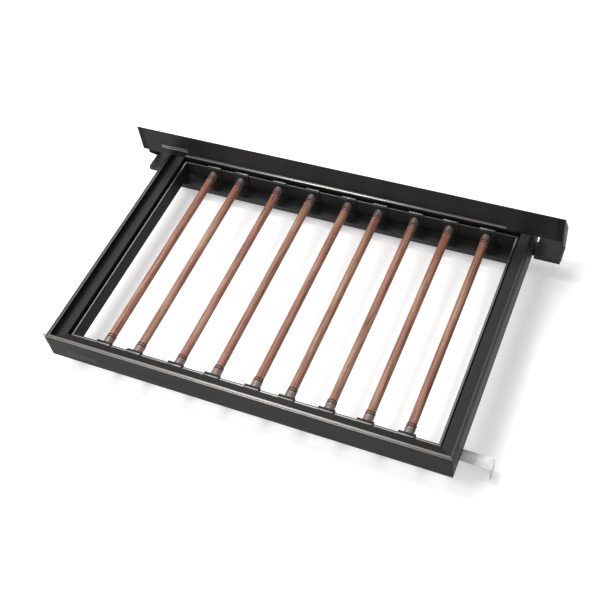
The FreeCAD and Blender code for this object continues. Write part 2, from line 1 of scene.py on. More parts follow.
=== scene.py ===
"""Looks of the pull-out trouser rack.

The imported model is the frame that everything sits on.  Its profiles, rods, runners and brackets keep
their own shapes and are given finishes here.  The sliding clips, the turned end ferrules and the rubber
rings of the rods, the screws, and the bare plate and bright ledge of the rear panel are modelled here
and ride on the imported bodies.  All sizes are in metres.
"""

import logging
import math
from collections.abc import Callable, Iterator
from contextlib import contextmanager
from dataclasses import dataclass
from enum import Enum

import bmesh
import bpy
from mathutils import Matrix, Vector


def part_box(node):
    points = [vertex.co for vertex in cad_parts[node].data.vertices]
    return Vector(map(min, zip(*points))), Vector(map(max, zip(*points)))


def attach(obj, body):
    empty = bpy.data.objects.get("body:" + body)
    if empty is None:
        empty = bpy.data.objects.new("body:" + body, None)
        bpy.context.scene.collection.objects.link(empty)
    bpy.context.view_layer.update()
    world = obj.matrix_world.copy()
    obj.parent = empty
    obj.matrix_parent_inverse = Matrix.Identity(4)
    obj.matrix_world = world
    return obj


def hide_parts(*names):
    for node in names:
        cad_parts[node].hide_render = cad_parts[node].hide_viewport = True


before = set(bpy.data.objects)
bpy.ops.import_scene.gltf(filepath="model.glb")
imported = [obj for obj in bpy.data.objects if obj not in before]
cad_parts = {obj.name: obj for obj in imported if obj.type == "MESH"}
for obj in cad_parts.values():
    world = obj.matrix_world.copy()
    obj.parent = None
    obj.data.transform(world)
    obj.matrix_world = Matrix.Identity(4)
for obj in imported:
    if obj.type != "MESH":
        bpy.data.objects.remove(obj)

LOG = logging.getLogger("trouser_rack")
MM = 0.001
ROD_COUNT = 9
MERGE = 0.01 * MM        # points closer than this are one
SLACK = 0.1 * MM         # an edge this close to a line counts as on it
FACING = 0.9             # least agreement of a face's normal with the way it looks

Colour = tuple[float, float, float]
Place = tuple[float, float, float]
Piece = bpy.types.Object
Socket = bpy.types.NodeSocket
Fill = Socket | float | Colour


# ---- the modelling bench --------------------------------------------------------------------------
class Axis(Enum):
    """Direction that a face looks in or a piece is turned along."""

    FORWARD = (0.0, -1.0, 0.0)
    BACK = (0.0, 1.0, 0.0)
    UP = (0.0, 0.0, 1.0)
    DOWN = (0.0, 0.0, -1.0)

    @property
    def vector(self) -> Vector:
        """The direction as a vector."""
        return Vector(self.value)


class Pick(Enum):
    """What is selected inside an open piece."""

    FACES = "FACE"
    EDGES = "EDGE"


class Bench:
    """Holds one piece at a time and shapes it with the modelling tools."""

    @staticmethod
    def clear() -> None:
        """Put everything down: nothing stays selected."""
        bpy.ops.object.select_all(action="DESELECT")

    @classmethod
    def take(cls, piece: Piece) -> None:
        """Make one piece the only selected piece.

        Args:
            piece: The piece to work on.
        """
        cls.clear()
        piece.select_set(True)
        bpy.context.view_layer.objects.active = piece

    @classmethod
    def settle(cls, piece: Piece) -> None:
        """Move the place, turn and scale of a piece into its mesh."""
        cls.take(piece)
        bpy.ops.object.transform_apply(location=True, rotation=True, scale=True)

    @classmethod
    @contextmanager
    def editing(cls, piece: Piece, pick: Pick = Pick.FACES) -> Iterator[None]:
        """Work inside the piece's mesh for the length of a with block.

        Args:
            piece: The piece to open.
            pick: What is selected in it.
        """
        cls.take(piece)
        bpy.ops.object.mode_set(mode="EDIT")
        bpy.ops.mesh.select_mode(type=pick.value)
        try:
            yield
        finally:
            bpy.ops.object.mode_set(mode="OBJECT")

    @staticmethod
    def pick_faces(piece: Piece, looking: Axis, wanted: Callable[[Vector], bool]) -> None:
        """Select the faces of the open piece that look one way and lie where they are wanted.

        Args:
            piece: The piece being edited.
            looking: The way the faces look.
            wanted: Test of a face's middle.
        """
        bpy.ops.mesh.select_all(action="DESELECT")
        shell = bmesh.from_edit_mesh(piece.data)
        shell.normal_update()
        for face in shell.faces:
            towards = face.normal.dot(looking.vector) > FACING
            face.select_set(towards and wanted(face.calc_center_median()))
        bmesh.update_edit_mesh(piece.data)

    @staticmethod
    def pick_edges(piece: Piece, wanted: Callable[[Vector, Vector], bool]) -> None:
        """Select the edges of the open piece whose ends are wanted.

        Args:
            piece: The piece being edited.
            wanted: Test of an edge's two ends.
        """
        bpy.ops.mesh.select_all(action="DESELECT")
        shell = bmesh.from_edit_mesh(piece.data)
        for edge in shell.edges:
            edge.select_set(wanted(edge.verts[0].co, edge.verts[1].co))
        shell.select_flush_mode()
        bmesh.update_edit_mesh(piece.data)

    @staticmethod
    def push(along: Axis, distance: float) -> None:
        """Extrude what is selected along an axis."""
        bpy.ops.mesh.extrude_region_move(TRANSFORM_OT_translate={"value": tuple(along.vector * distance)})

    @staticmethod
    def slice(along: Axis, distance: float) -> None:
        """Cut new edges where the plane across an axis, this far along it, meets the open mesh."""
        bpy.ops.mesh.select_all(action="SELECT")
        bpy.ops.mesh.bisect(plane_co=tuple(along.vector * distance), plane_no=along.value)

    @classmethod
    def block(cls, name: str, low: Place, high: Place) -> Piece:
        """Start a piece from a block between two corners.

        Args:
            name: The piece's name.
            low: Its lowest corner.
            high: Its highest corner.

        Returns:
            The new piece.
        """
        middle = [(a + b) / 2 for a, b in zip(low, high)]
        size = [b - a for a, b in zip(low, high)]
        cls.clear()
        bpy.ops.mesh.primitive_cube_add(size=1, location=middle, scale=size)
        piece = bpy.context.active_object
        piece.name = name
        cls.settle(piece)
        return piece

    @classmethod
    def turn(
        cls,
        name: str,
        start: Vector,
        axis: Axis,
        stations: list[tuple[float, float]],
        sides: int,
        bored: bool = False,
    ) -> Piece:
        """Make a turned piece: a disc or ring, extruded and scaled from station to station.

        Args:
            name: The piece's name.
            start: The place that stations are measured from.
            axis: Direction of the turning axis.
            stations: Distance along the axis and radius of each station, in order.
            sides: How many sides stand for the circle.
            bored: True for a ring, whose last station meets the first.

        Returns:
            The new piece.
        """
        direction = axis.vector
        cls.clear()
        bpy.ops.mesh.primitive_circle_add(
            vertices=sides,
            radius=stations[0][1],
            fill_type="NOTHING" if bored else "NGON",
            location=start + direction * stations[0][0],
            rotation=direction.to_track_quat("Z", "Y").to_euler(),
        )
        piece = bpy.context.active_object
        piece.name = name
        cls.settle(piece)
        with cls.editing(piece, Pick.EDGES if bored else Pick.FACES):
            bpy.ops.mesh.select_all(action="SELECT")
            for (here, radius), (there, wider) in zip(stations, stations[1:]):
                cls.push(axis, there - here)
                bpy.ops.transform.resize(
                    value=(wider / radius,) * 3,
                    center_override=tuple(start + direction * there),
                )
            bpy.ops.mesh.select_all(action="SELECT")
            bpy.ops.mesh.remove_doubles(threshold=MERGE)
            bpy.ops.mesh.normals_make_consistent(inside=False)
        return piece

    @classmethod
    def smooth(cls, piece: Piece, angle: float) -> None:
        """Shade a piece smooth, but for edges sharper than this many degrees."""
        cls.take(piece)
        bpy.ops.object.shade_smooth_by_angle(angle=math.radians(angle))

    @classmethod
    def soften(cls, piece: Piece, width: float, segments: int = 2, angle: float = 30) -> None:
        """Bevel the piece's sharp edges and shade it smooth between them.

        Args:
            piece: The piece to finish.
            width: Width of the bevel.
            segments: Faces across the bevel.
            angle: Edges sharper than this many degrees are bevelled.
        """
        cls.take(piece)
        bevel = piece.modifiers.new("soft_edges", "BEVEL")
        bevel.width = width
        bevel.segments = segments
        bevel.limit_method = "ANGLE"
        bevel.angle_limit = math.radians(angle)
        bevel.harden_normals = False
        bpy.ops.object.modifier_apply(modifier=bevel.name)
        cls.smooth(piece, angle)

    @classmethod
    def copy(cls, piece: Piece, name: str, shift: Place = (0, 0, 0)) -> Piece:
        """Copy a piece with its own mesh and put the copy in its place.

        Args:
            piece: The piece to copy.
            name: The copy's name.
            shift: From the piece to its copy.

        Returns:
            The copy.
        """
        cls.take(piece)
        bpy.ops.object.duplicate(linked=False)
        twin = bpy.context.active_object
        twin.name = name
        bpy.ops.transform.translate(value=shift)
        cls.settle(twin)
        return twin

    @classmethod
    def reflect(cls, piece: Piece, name: str, scale: Place) -> Piece:
        """Copy a piece to the other side of the origin's planes.

        Args:
            piece: The piece to copy.
            name: The copy's name.
            scale: 1 or -1 on each axis.

        Returns:
            The mirrored copy.
        """
        twin = cls.copy(piece, name)
        bpy.ops.transform.resize(value=scale, center_override=(0, 0, 0))
        cls.settle(twin)
        with cls.editing(twin):
            bpy.ops.mesh.select_all(action="SELECT")
            bpy.ops.mesh.normals_make_consistent(inside=False)
        return twin

    @classmethod
    def join(cls, pieces: list[Piece], name: str) -> Piece:
        """Put several meshes together as one piece.

        Args:
            pieces: The meshes, of which the first keeps its finish slots.
            name: Name of the joined piece.

        Returns:
            The joined piece.
        """
        cls.take(pieces[0])
        for piece in pieces[1:]:
            piece.select_set(True)
        bpy.ops.object.join()
        joined = bpy.context.active_object
        joined.name = name
        return joined

    @classmethod
    def carve(cls, piece: Piece, cutter: Piece) -> None:
        """Cut one mesh out of another and throw the cutter away.

        Args:
            piece: The piece that is cut.
            cutter: The shape that is taken out.
        """
        cls.take(piece)
        cut = piece.modifiers.new("cut", "BOOLEAN")
        cut.operation = "DIFFERENCE"
        cut.solver = "EXACT"
        cut.object = cutter
        bpy.ops.object.modifier_apply(modifier=cut.name)
        bpy.data.objects.remove(cutter)


# ---- finishes -------------------------------------------------------------------------------------
class Part(Enum):
    """One of the three parts of a place or a direction."""

    X = "X"
    Y = "Y"
    Z = "Z"


def tint(colour: Colour, factor: float, lift: float = 0.0) -> Colour:
    """Make a colour lighter or darker, white at most."""
    return tuple(min(c * factor + lift, 1.0) for c in colour)


class Recipe:
    """The node tree of one finish, with short ways to add and join its nodes."""

    mix_inputs = (0, 6, 7)            # share, first and second colour of a mix node
    mix_output = 2
    shift_steps = (1.0, 1.7, 0.6)     # how far a noise is moved on each axis, by its shift
    usual_noise = (0.3, 0.7)          # where most of a noise lies
    edge_samples = 6

    def __init__(self, name: str) -> None:
        """Start a finish from an empty principled shader.

        Args:
            name: Name of the material.
        """
        self.material = bpy.data.materials.new(name)
        self.material.use_nodes = True
        self.nodes = self.material.node_tree.nodes
        self.links = self.material.node_tree.links
        self.shader = self.nodes["Principled BSDF"]
        self.place = self.nodes.new("ShaderNodeTexCoord").outputs["Object"]

    def feed(self, socket: Socket, value: Fill) -> None:
        """Give a socket a link or a value.

        Args:
            socket: The input to fill.
            value: An output socket to link, or a constant.
        """
        if isinstance(value, Socket):
            self.links.new(value, socket)
        else:
            socket.default_value = value

    def set(self, **inputs: Fill) -> None:
        """Fill the shader's inputs; an underscore in a name stands for a space."""
        for name, value in inputs.items():
            self.feed(self.shader.inputs[name.replace("_", " ")], value)

    def math(self, operation: str, a: Fill, b: Fill = 0.0, c: Fill = 0.0) -> Socket:
        """Add a math node.

        Args:
            operation: Its operation.
            a: First value or socket.
            b: Second value or socket.
            c: Third value or socket.

        Returns:
            The result's socket.
        """
        node = self.nodes.new("ShaderNodeMath")
        node.operation = operation
        for socket, value in zip(node.inputs, (a, b, c)):
            self.feed(socket, value)
        return node.outputs["Value"]

    def vector_math(self, operation: str, a: Socket, b: Socket | None = None) -> Socket:
        """Add a node that makes a number of one or two vectors.

        Args:
            operation: Its operation.
            a: First vector.
            b: Second vector, where there is one.

        Returns:
            The result's socket.
        """
        node = self.nodes.new("ShaderNodeVectorMath")
        node.operation = operation
        for socket, value in zip(node.inputs, filter(None, (a, b))):
            self.links.new(value, socket)
        return node.outputs["Value"]

    def spread(self, value: Fill, low: float, high: float, to_low: float = 0, to_high: float = 1) -> Socket:
        """Map a range of a value to another range, clamped.

        Args:
            value: The socket to map.
            low: Where the range starts.
            high: Where it ends.
            to_low: Result at the start.
            to_high: Result at the end.

        Returns:
            The result's socket.
        """
        node = self.nodes.new("ShaderNodeMapRange")
        limits = {"From Min": low, "From Max": high, "To Min": to_low, "To Max": to_high}
        for name, number in limits.items():
            node.inputs[name].default_value = number
        self.feed(node.inputs["Value"], value)
        return node.outputs["Result"]

    def vary(self, noise: Socket, low: float = 0.0, high: float = 1.0) -> Socket:
        """Map the usual range of a noise to another range."""
        return self.spread(noise, *self.usual_noise, low, high)

    def noise(
        self,
        stretch: Place | float,
        detail: float = 2.0,
        rough: float = 0.5,
        shift: float = 0.0,
    ) -> Socket:
        """Noise over the piece.

        Args:
            stretch: How many blotches to the metre, on each axis or on all alike.
            detail: Levels of detail.
            rough: How strong the fine levels are.
            shift: Moves the pattern, so that two noises differ.

        Returns:
            The noise's socket.
        """
        mapping = self.nodes.new("ShaderNodeMapping")
        mapping.inputs["Scale"].default_value = stretch if isinstance(stretch, tuple) else (stretch,) * 3
        mapping.inputs["Location"].default_value = tuple(shift * step for step in self.shift_steps)
        self.links.new(self.place, mapping.inputs["Vector"])
        noise = self.nodes.new("ShaderNodeTexNoise")
        noise.inputs["Scale"].default_value = 1.0
        noise.inputs["Detail"].default_value = detail
        noise.inputs["Roughness"].default_value = rough
        self.links.new(mapping.outputs["Vector"], noise.inputs["Vector"])
        return noise.outputs["Fac"]

    def mix(self, share: Fill, a: Fill, b: Fill) -> Socket:
        """Blend two colours.

        Args:
            share: How much of the second colour.
            a: First colour or socket.
            b: Second colour or socket.

        Returns:
            The blended colour's socket.
        """
        node = self.nodes.new("ShaderNodeMix")
        node.data_type = "RGBA"
        share_socket, first, second = (node.inputs[place] for place in self.mix_inputs)
        self.feed(share_socket, share)
        for socket, colour in ((first, a), (second, b)):
            self.feed(socket, colour if isinstance(colour, Socket) else (*colour, 1.0))
        return node.outputs[self.mix_output]

    def blend(self, share: Fill, a: Fill, b: Fill) -> Socket:
        """Blend two values by a share, 0 for the first and 1 for the second."""
        rest = self.math("SUBTRACT", 1.0, share)
        return self.math("ADD", self.math("MULTIPLY", a, rest), self.math("MULTIPLY", b, share))

    def both(self, first: Socket, *others: Socket) -> Socket:
        """Mask of what lies in all of several masks.

        Args:
            first: A mask.
            *others: More masks.

        Returns:
            The product's socket.
        """
        for mask in others:
            first = self.math("MULTIPLY", first, mask)
        return first

    def between(self, value: Socket, low: float, high: float) -> Socket:
        """Mask of the places where a value lies between two limits."""
        return self.math("COMPARE", value, (low + high) / 2, (high - low) / 2)

    def rounded(self, radius: float) -> Socket:
        """Normal of the surface with its sharp edges rounded.

        Args:
            radius: Radius of the rounding.

        Returns:
            The normal's socket.
        """
        node = self.nodes.new("ShaderNodeBevel")
        node.samples = self.edge_samples
        node.inputs["Radius"].default_value = radius
        return node.outputs["Normal"]

    def flat_normal(self) -> Socket:
        """Normal of the mesh's faces."""
        return self.nodes.new("ShaderNodeNewGeometry").outputs["True Normal"]

    def edges(self, rounded: Socket, low: float = 0.995, high: float = 0.93) -> Socket:
        """Mask of the sharp edges, from the agreement of the rounded normal with the flat one."""
        return self.spread(self.vector_math("DOT_PRODUCT", rounded, self.flat_normal()), low, high)

    def height(self, value: Socket, strength: float, depth: float, normal: Socket | None = None) -> None:
        """Give the shader small relief.

        Args:
            value: Height socket.
            strength: Strength of the relief.
            depth: Its depth in metres.
            normal: Normal that the relief starts from.
        """
        bump = self.nodes.new("ShaderNodeBump")
        bump.inputs["Strength"].default_value = strength
        bump.inputs["Distance"].default_value = depth
        self.links.new(value, bump.inputs["Height"])
        if normal is not None:
            self.links.new(normal, bump.inputs["Normal"])
        self.links.new(bump.outputs["Normal"], self.shader.inputs["Normal"])

    def part_of(self, vector: Socket, part: Part) -> Socket:
        """Take one part of a vector.

        Args:
            vector: The vector's socket.
            part: Which part.

        Returns:
            The part's socket.
        """
        node = self.nodes.new("ShaderNodeSeparateXYZ")
        self.links.new(vector, node.inputs["Vector"])
        return node.outputs[part.value]

    def coordinate(self, part: Part) -> Socket:
        """One coordinate of the place on the piece."""
        return self.part_of(self.place, part)

    def at_rear(self) -> Socket:
        """Mask of the rear half."""
        return self.math("GREATER_THAN", self.coordinate(Part.Y), 0.0)

    def facing_up(self, steep: float = 0.6, level: float = 0.95) -> Socket:
        """Mask of the surfaces that face up."""
        return self.spread(self.part_of(self.flat_normal(), Part.Z), steep, level)


@dataclass(frozen=True)
class Finish:
    """A finish, which makes its material by filling in a recipe."""

    name: str

    def build(self) -> bpy.types.Material:
        """Make the material.

        Returns:
            The material.
        """
        mix = Recipe(self.name)
        self.fill(mix)
        return mix.material

    def fill(self, mix: Recipe) -> None:
        """Fill in the recipe; each finish has its own way."""
        raise NotImplementedError


class Run(Enum):
    """Direction that a profile was extruded or a part was brushed in."""

    ACROSS = (4.0, 1400.0, 1400.0)
    DEEP = (1400.0, 4.0, 1400.0)
    ROUND = (900.0, 900.0, 900.0)


@dataclass(frozen=True)
class FlatTop:
    """Finish of the faces of a profile that look up at one height.

    It takes in what is within reach of its level and further out than its clear distance.
    """

    level: float
    colour: Colour
    metal: float = 0.9
    clear: float = 0.0
    reach: float = 0.45 * MM


@dataclass(frozen=True)
class Anodised(Finish):
    """Black anodised aluminium with extrusion lines, satin flat tops and a bare name place; the tops'
    colours carry painted highlight and shade.
    """

    run: Run
    tops: tuple[FlatTop, ...] = ()
    colour: Colour = (0.0105, 0.0096, 0.0090)
    place: tuple[float, float, float, float] | None = None
    patch_tint: float = 1.6
    edge_tint: float = 5.0
    place_tint: float = 3.2
    roughness: float = 0.46
    uneven: float = 0.08
    polish: float = 0.30
    grain: float = 0.12
    specular: float = 0.13

    def fill(self, mix: Recipe) -> None:
        """Lay on patches, lighter sharp edges that are partly wear and partly painted highlight, flat tops,
        the name place and the extrusion lines.

        Args:
            mix: The recipe to fill in.
        """
        lines = mix.noise(self.run.value, detail=3.0)
        patches = mix.noise(9.0, detail=3.0, shift=3.1)
        body = mix.mix(mix.vary(patches), self.colour, tint(self.colour, self.patch_tint))
        normal = mix.rounded(radius=0.5 * MM)
        # Lighter sharp edges, broken up by patches: partly wear, partly painted edge highlight.
        wear_and_edge_highlight = mix.both(mix.edges(normal), mix.spread(patches, 0.25, 0.6, to_low=0.3, to_high=0.8))
        body = mix.mix(wear_and_edge_highlight, body, tint(self.colour, self.edge_tint))
        metal = 0.0
        for top in self.tops:
            found = self.flat_top(mix, top)
            body = mix.mix(found, body, top.colour)
            if top.metal:
                metal = mix.math("MAXIMUM", metal, mix.math("MULTIPLY", found, top.metal))
        rough = mix.vary(lines, self.roughness - self.uneven, self.roughness + self.uneven)
        if self.tops:
            metal = mix.both(metal, mix.vary(patches, low=0.85))
            rough = mix.blend(metal, rough, self.polish)
            mix.set(Metallic=metal)
        if self.place:
            body = mix.mix(self.name_place(mix), body, tint(self.colour, self.place_tint))
        mix.set(Base_Color=body, Roughness=rough, Specular_IOR_Level=self.specular)
        mix.height(lines, self.grain, depth=0.04 * MM, normal=normal)

    def flat_top(self, mix: Recipe, top: FlatTop) -> Socket:
        """Mask of a flat top, from its clear distance outward.

        Args:
            mix: The recipe being filled in.
            top: The flat top.

        Returns:
            The mask's socket.
        """
        level = mix.math("COMPARE", mix.coordinate(Part.Z), top.level, top.reach)
        across = mix.coordinate(Part.Y if self.run is Run.ACROSS else Part.X)
        beyond = mix.math("GREATER_THAN", mix.math("ABSOLUTE", across), top.clear)
        return mix.both(level, beyond, mix.facing_up())

    def name_place(self, mix: Recipe) -> Socket:
        """Mask of the bare name place.

        Args:
            mix: The recipe being filled in.

        Returns:
            The mask's socket.
        """
        left, right, low, high = self.place
        across = mix.between(mix.coordinate(Part.X), left, right)
        upright = mix.between(mix.coordinate(Part.Z), low, high)
        return mix.both(across, upright)


@dataclass(frozen=True)
class GrainedWrap(Finish):
    """Red-brown wrap of the rods, with a grain that runs along them."""

    name: str = "rod_wrap"
    dark: Colour = (0.118, 0.045, 0.027)
    middle: Colour = (0.33, 0.147, 0.094)
    light: Colour = (0.44, 0.258, 0.172)
    flush: Colour = (0.40, 0.178, 0.137)
    grain_size: Place = (420.0, 12.0, 420.0)
    band_size: Place = (80.0, 9.0, 80.0)
    pore_size: Place = (1500.0, 220.0, 1500.0)
    blush_size: Place = (24.0, 11.0, 24.0)
    grain_depth: float = 0.85
    pore_depth: float = 0.7
    pore_tint: float = 0.6
    roughness: tuple[float, float] = (0.34, 0.50)

    def fill(self, mix: Recipe) -> None:
        """Lay on bands, blush, grain and pores.

        Args:
            mix: The recipe to fill in.
        """
        grain = mix.noise(self.grain_size, detail=5.0, rough=0.6)
        bands = mix.noise(self.band_size, detail=3.0, shift=5.3)
        pores = mix.noise(self.pore_size, shift=8.9)
        blush = mix.noise(self.blush_size, shift=6.6)
        light = mix.mix(mix.spread(blush, 0.46, 0.60), self.light, self.flush)
        colour = mix.mix(mix.spread(bands, 0.38, 0.60), self.middle, light)
        colour = mix.mix(mix.spread(grain, 0.54, 0.36, to_high=self.grain_depth), colour, self.dark)
        pitted = mix.spread(pores, 0.40, 0.28, to_high=self.pore_depth)
        colour = mix.mix(pitted, colour, tint(self.dark, self.pore_tint))
        mix.set(
            Base_Color=colour,
            Roughness=mix.spread(grain, 0.35, 0.65, *self.roughness),
            Specular_IOR_Level=0.24,
            Coat_Weight=0.10,
            Coat_Roughness=0.25,
        )
        mix.height(mix.math("ADD", grain, pores), strength=0.35, depth=0.08 * MM)


@dataclass(frozen=True)
class TurnedMetal(Finish):
    """Satin rose-grey metal with turning marks, for the rods' ferrules, with painted shade on the rear
    ones.
    """

    name: str = "ferrule_metal"
    colour: Colour = (0.235, 0.184, 0.165)
    stain_tint: float = 0.72
    edge_tint: float = 1.3
    # painted shade: how much darker the rear ferrules are coloured
    rear_shade_tint: float = 0.62
    roughness: tuple[float, float] = (0.40, 0.58)

    def fill(self, mix: Recipe) -> None:
        """Lay on stains, light edges and turning marks, and paint shade on the rear ends.

        Args:
            mix: The recipe to fill in.
        """
        marks = mix.noise((40.0, 2600.0, 40.0))
        stains = mix.noise(90.0, detail=3.0, shift=2.2)
        normal = mix.rounded(radius=0.3 * MM)
        colour = mix.mix(mix.spread(stains, 0.35, 0.65), self.colour, tint(self.colour, self.stain_tint))
        colour = mix.mix(mix.edges(normal), colour, tint(self.colour, self.edge_tint))
        # Painted shade: the rear ferrules, which lie in the panel's shadow, are darkened in their colour.
        colour = mix.mix(mix.at_rear(), colour, tint(self.colour, self.rear_shade_tint))
        mix.set(
            Base_Color=colour,
            Metallic=0.65,
            Roughness=mix.vary(marks, *self.roughness),
            Specular_IOR_Level=0.3,
        )
        mix.height(marks, strength=0.3, depth=0.04 * MM, normal=normal)


@dataclass(frozen=True)
class Steel(Finish):
    """Rolled steel sheet: bright zinc, or painted black."""

    colour: Colour
    metallic: float
    roughness: float
    run: Run = Run.DEEP
    spangle: float = 0.3
    smoother: float = 0.07
    rougher: float = 0.12
    specular: float = 0.3

    def fill(self, mix: Recipe) -> None:
        """Lay on clouds, light edges, rolling lines and specks.

        Args:
            mix: The recipe to fill in.
        """
        rolled = mix.noise(self.run.value)
        clouds = mix.noise(55.0, detail=4.0, shift=1.4)
        specks = mix.noise(700.0, shift=4.4)
        normal = mix.rounded(radius=0.4 * MM)
        colour = mix.mix(mix.spread(clouds, 0.35, 0.65), self.colour, tint(self.colour, 1 - self.spangle))
        colour = mix.mix(mix.edges(normal), colour, tint(self.colour, factor=1.6, lift=0.02))
        mix.set(
            Base_Color=colour,
            Metallic=self.metallic,
            Roughness=mix.vary(specks, self.roughness - self.smoother, self.roughness + self.rougher),
            Specular_IOR_Level=self.specular,
        )
        mix.height(mix.math("ADD", rolled, specks), strength=0.18, depth=0.05 * MM, normal=normal)


@dataclass(frozen=True)
class Moulded(Finish):
    """Injection-moulded plastic with a fine sparked texture."""

    colour: Colour
    roughness: float = 0.46
    smoother: float = 0.05
    rougher: float = 0.08
    flow_tint: float = 1.35
    edge_tint: float = 2.2
    texture: float = 0.3
    specular: float = 0.35

    def fill(self, mix: Recipe) -> None:
        """Lay on flow clouds, light edges, any painted highlight and sparks.

        Args:
            mix: The recipe to fill in.
        """
        sparks = mix.noise(2200.0)
        flow = mix.noise(60.0, shift=6.0)
        normal = mix.rounded(radius=0.25 * MM)
        colour = mix.mix(mix.vary(flow), self.colour, tint(self.colour, self.flow_tint))
        colour = mix.mix(mix.edges(normal), colour, tint(self.colour, self.edge_tint))
        mix.set(
            Base_Color=self.painted_highlight(mix, colour),
            Roughness=mix.vary(flow, self.roughness - self.smoother, self.roughness + self.rougher),
            Specular_IOR_Level=self.specular,
        )
        mix.height(sparks, self.texture, depth=0.05 * MM, normal=normal)

    def painted_highlight(self, mix: Recipe, colour: Socket) -> Socket:
        """Add any painted highlight to the colour; plain plastic has none."""
        return colour


@dataclass(frozen=True)
class LinedPlastic(Moulded):
    """Moulded plastic with a satin line over its flat top, in line with the frame's lip: a painted
    highlight, brighter on the rear clips.
    """

    top: float = 0.0
    reach: float = 0.2 * MM
    line: tuple[float, float] = (0.0, 0.0)
    # painted highlight colours of the line on the front and on the rear clips
    front_highlight: Colour = (0.17, 0.163, 0.156)
    rear_highlight: Colour = (0.22, 0.214, 0.208)
    metallic: float = 0.85

    def painted_highlight(self, mix: Recipe, colour: Socket) -> Socket:
        """Add the line, a painted highlight.

        Args:
            mix: The recipe being filled in.
            colour: Colour of the plastic.

        Returns:
            Socket of the colour with the line.
        """
        level = mix.math("COMPARE", mix.coordinate(Part.Z), self.top, self.reach)
        within = mix.between(mix.math("ABSOLUTE", mix.coordinate(Part.Y)), *self.line)
        line = mix.both(level, within, mix.facing_up())
        mix.set(Metallic=mix.math("MULTIPLY", line, self.metallic))
        # Painted highlight: the front clips get a dimmer line than the rear ones.
        return mix.mix(line, colour, mix.mix(mix.at_rear(), self.front_highlight, self.rear_highlight))


@dataclass(frozen=True)
class Rubber(Finish):
    """Matt black rubber with dust in its pores."""

    name: str = "stop_rubber"
    colour: Colour = (0.016, 0.016, 0.016)
    dusty: Colour = (0.07, 0.068, 0.065)
    roughness: tuple[float, float] = (0.5, 0.68)

    def fill(self, mix: Recipe) -> None:
        """Lay on dust and pores.

        Args:
            mix: The recipe to fill in.
        """
        pores = mix.noise(1800.0, detail=3.0)
        dust = mix.noise(240.0, detail=4.0, shift=7.7)
        mix.set(
            Base_Color=mix.mix(mix.spread(dust, 0.5, 0.75, to_high=0.5), self.colour, self.dusty),
            Roughness=mix.vary(pores, *self.roughness),
            Specular_IOR_Level=0.4,
        )
        mix.height(pores, strength=0.4, depth=0.05 * MM)


def dress(node: str, finish: bpy.types.Material) -> str:
    """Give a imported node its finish.

    Args:
        node: Name of the node.
        finish: Material for all its slots.

    Returns:
        The node's name.
    """
    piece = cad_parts[node]
    if not piece.material_slots:
        piece.data.materials.append(finish)
    for slot in piece.material_slots:
        slot.material = finish
    return node


def hang(piece: Piece, finish: bpy.types.Material, body: str) -> str:
    """Give a new piece its finish and hang it on a body.

    Args:
        piece: The finished mesh.
        finish: Its material.
        body: The body that carries it.

    Returns:
        The piece's name.
    """
    piece.data.materials.clear()
    piece.data.materials.append(finish)
    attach(piece, body)
    return piece.name


# ---- sub-assemblies -------------------------------------------------------------------------------
@dataclass
class SlidingFrame:
    """The mitred frame that pulls out: four profiles, their corner keys and the front catches."""

    rim: float = 98 * MM
    rim_groove: float = 0.7 * MM
    groove_reach: float = 0.25 * MM
    web: float = 82.5 * MM
    lip: float = 75 * MM
    lip_inner: tuple[float, float] = (346.8 * MM, 230.9 * MM)
    name_place: tuple[float, float, float, float] = (-344 * MM, -282 * MM, 55 * MM, 69 * MM)
    key_zinc: Colour = (0.55, 0.55, 0.56)
    catch_black: Colour = (0.018, 0.018, 0.019)

    def build(self) -> list[str]:
        """Dress the frame.

        Returns:
            Names of the nodes that were dressed.
        """
        members = [dress(f"{side}_member", finish.build()) for side, finish in self.finishes().items()]
        zinc = Steel("key_zinc", self.key_zinc, metallic=0.9, roughness=0.38)
        plastic = Moulded("catch_plastic", self.catch_black)
        return members + [dress("corner_keys", zinc.build()), dress("front_catches", plastic.build())]

    def finishes(self) -> dict[str, Anodised]:
        """Choose the finish of each side.

        Returns:
            Finishes by side, each with its own brightness of rim, web and lip, as painted highlight and
            shade.
        """
        across = Run.ACROSS
        groove = self.rim - self.rim_groove
        lip_x, lip_y = self.lip_inner
        # Painted highlight and shade: the same profile gets lit and shaded copies, with brighter tops on
        # the front and left members, darker ones on the rear and right, a dark groove in the front rim and
        # the lips' inner edges left dark.
        front_tops = (
            FlatTop(self.rim, (0.145, 0.139, 0.133)),
            FlatTop(groove, (0.06, 0.058, 0.056), reach=self.groove_reach),
            FlatTop(self.lip, (0.17, 0.164, 0.158), clear=lip_y),
        )
        rear_tops = (
            FlatTop(self.rim, (0.06, 0.058, 0.056)),
            FlatTop(self.lip, (0.12, 0.116, 0.112), clear=lip_y),
        )
        left_tops = (
            FlatTop(self.rim, (0.10, 0.097, 0.094)),
            FlatTop(self.web, (0.037, 0.035, 0.034), metal=0.0),
            FlatTop(self.lip, (0.27, 0.262, 0.255), clear=lip_x),
        )
        right_tops = (
            FlatTop(self.rim, (0.055, 0.053, 0.051)),
            FlatTop(self.web, (0.026, 0.0245, 0.0235), metal=0.0),
            FlatTop(self.lip, (0.11, 0.107, 0.104)),
        )
        return {
            "front": Anodised("anodised_front", across, front_tops, place=self.name_place, specular=0.10),
            "rear": Anodised("anodised_rear", across, rear_tops, specular=0.09),
            "left": Anodised("anodised_left", Run.DEEP, left_tops, specular=0.06),
            "right": Anodised("anodised_right", Run.DEEP, right_tops),
        }


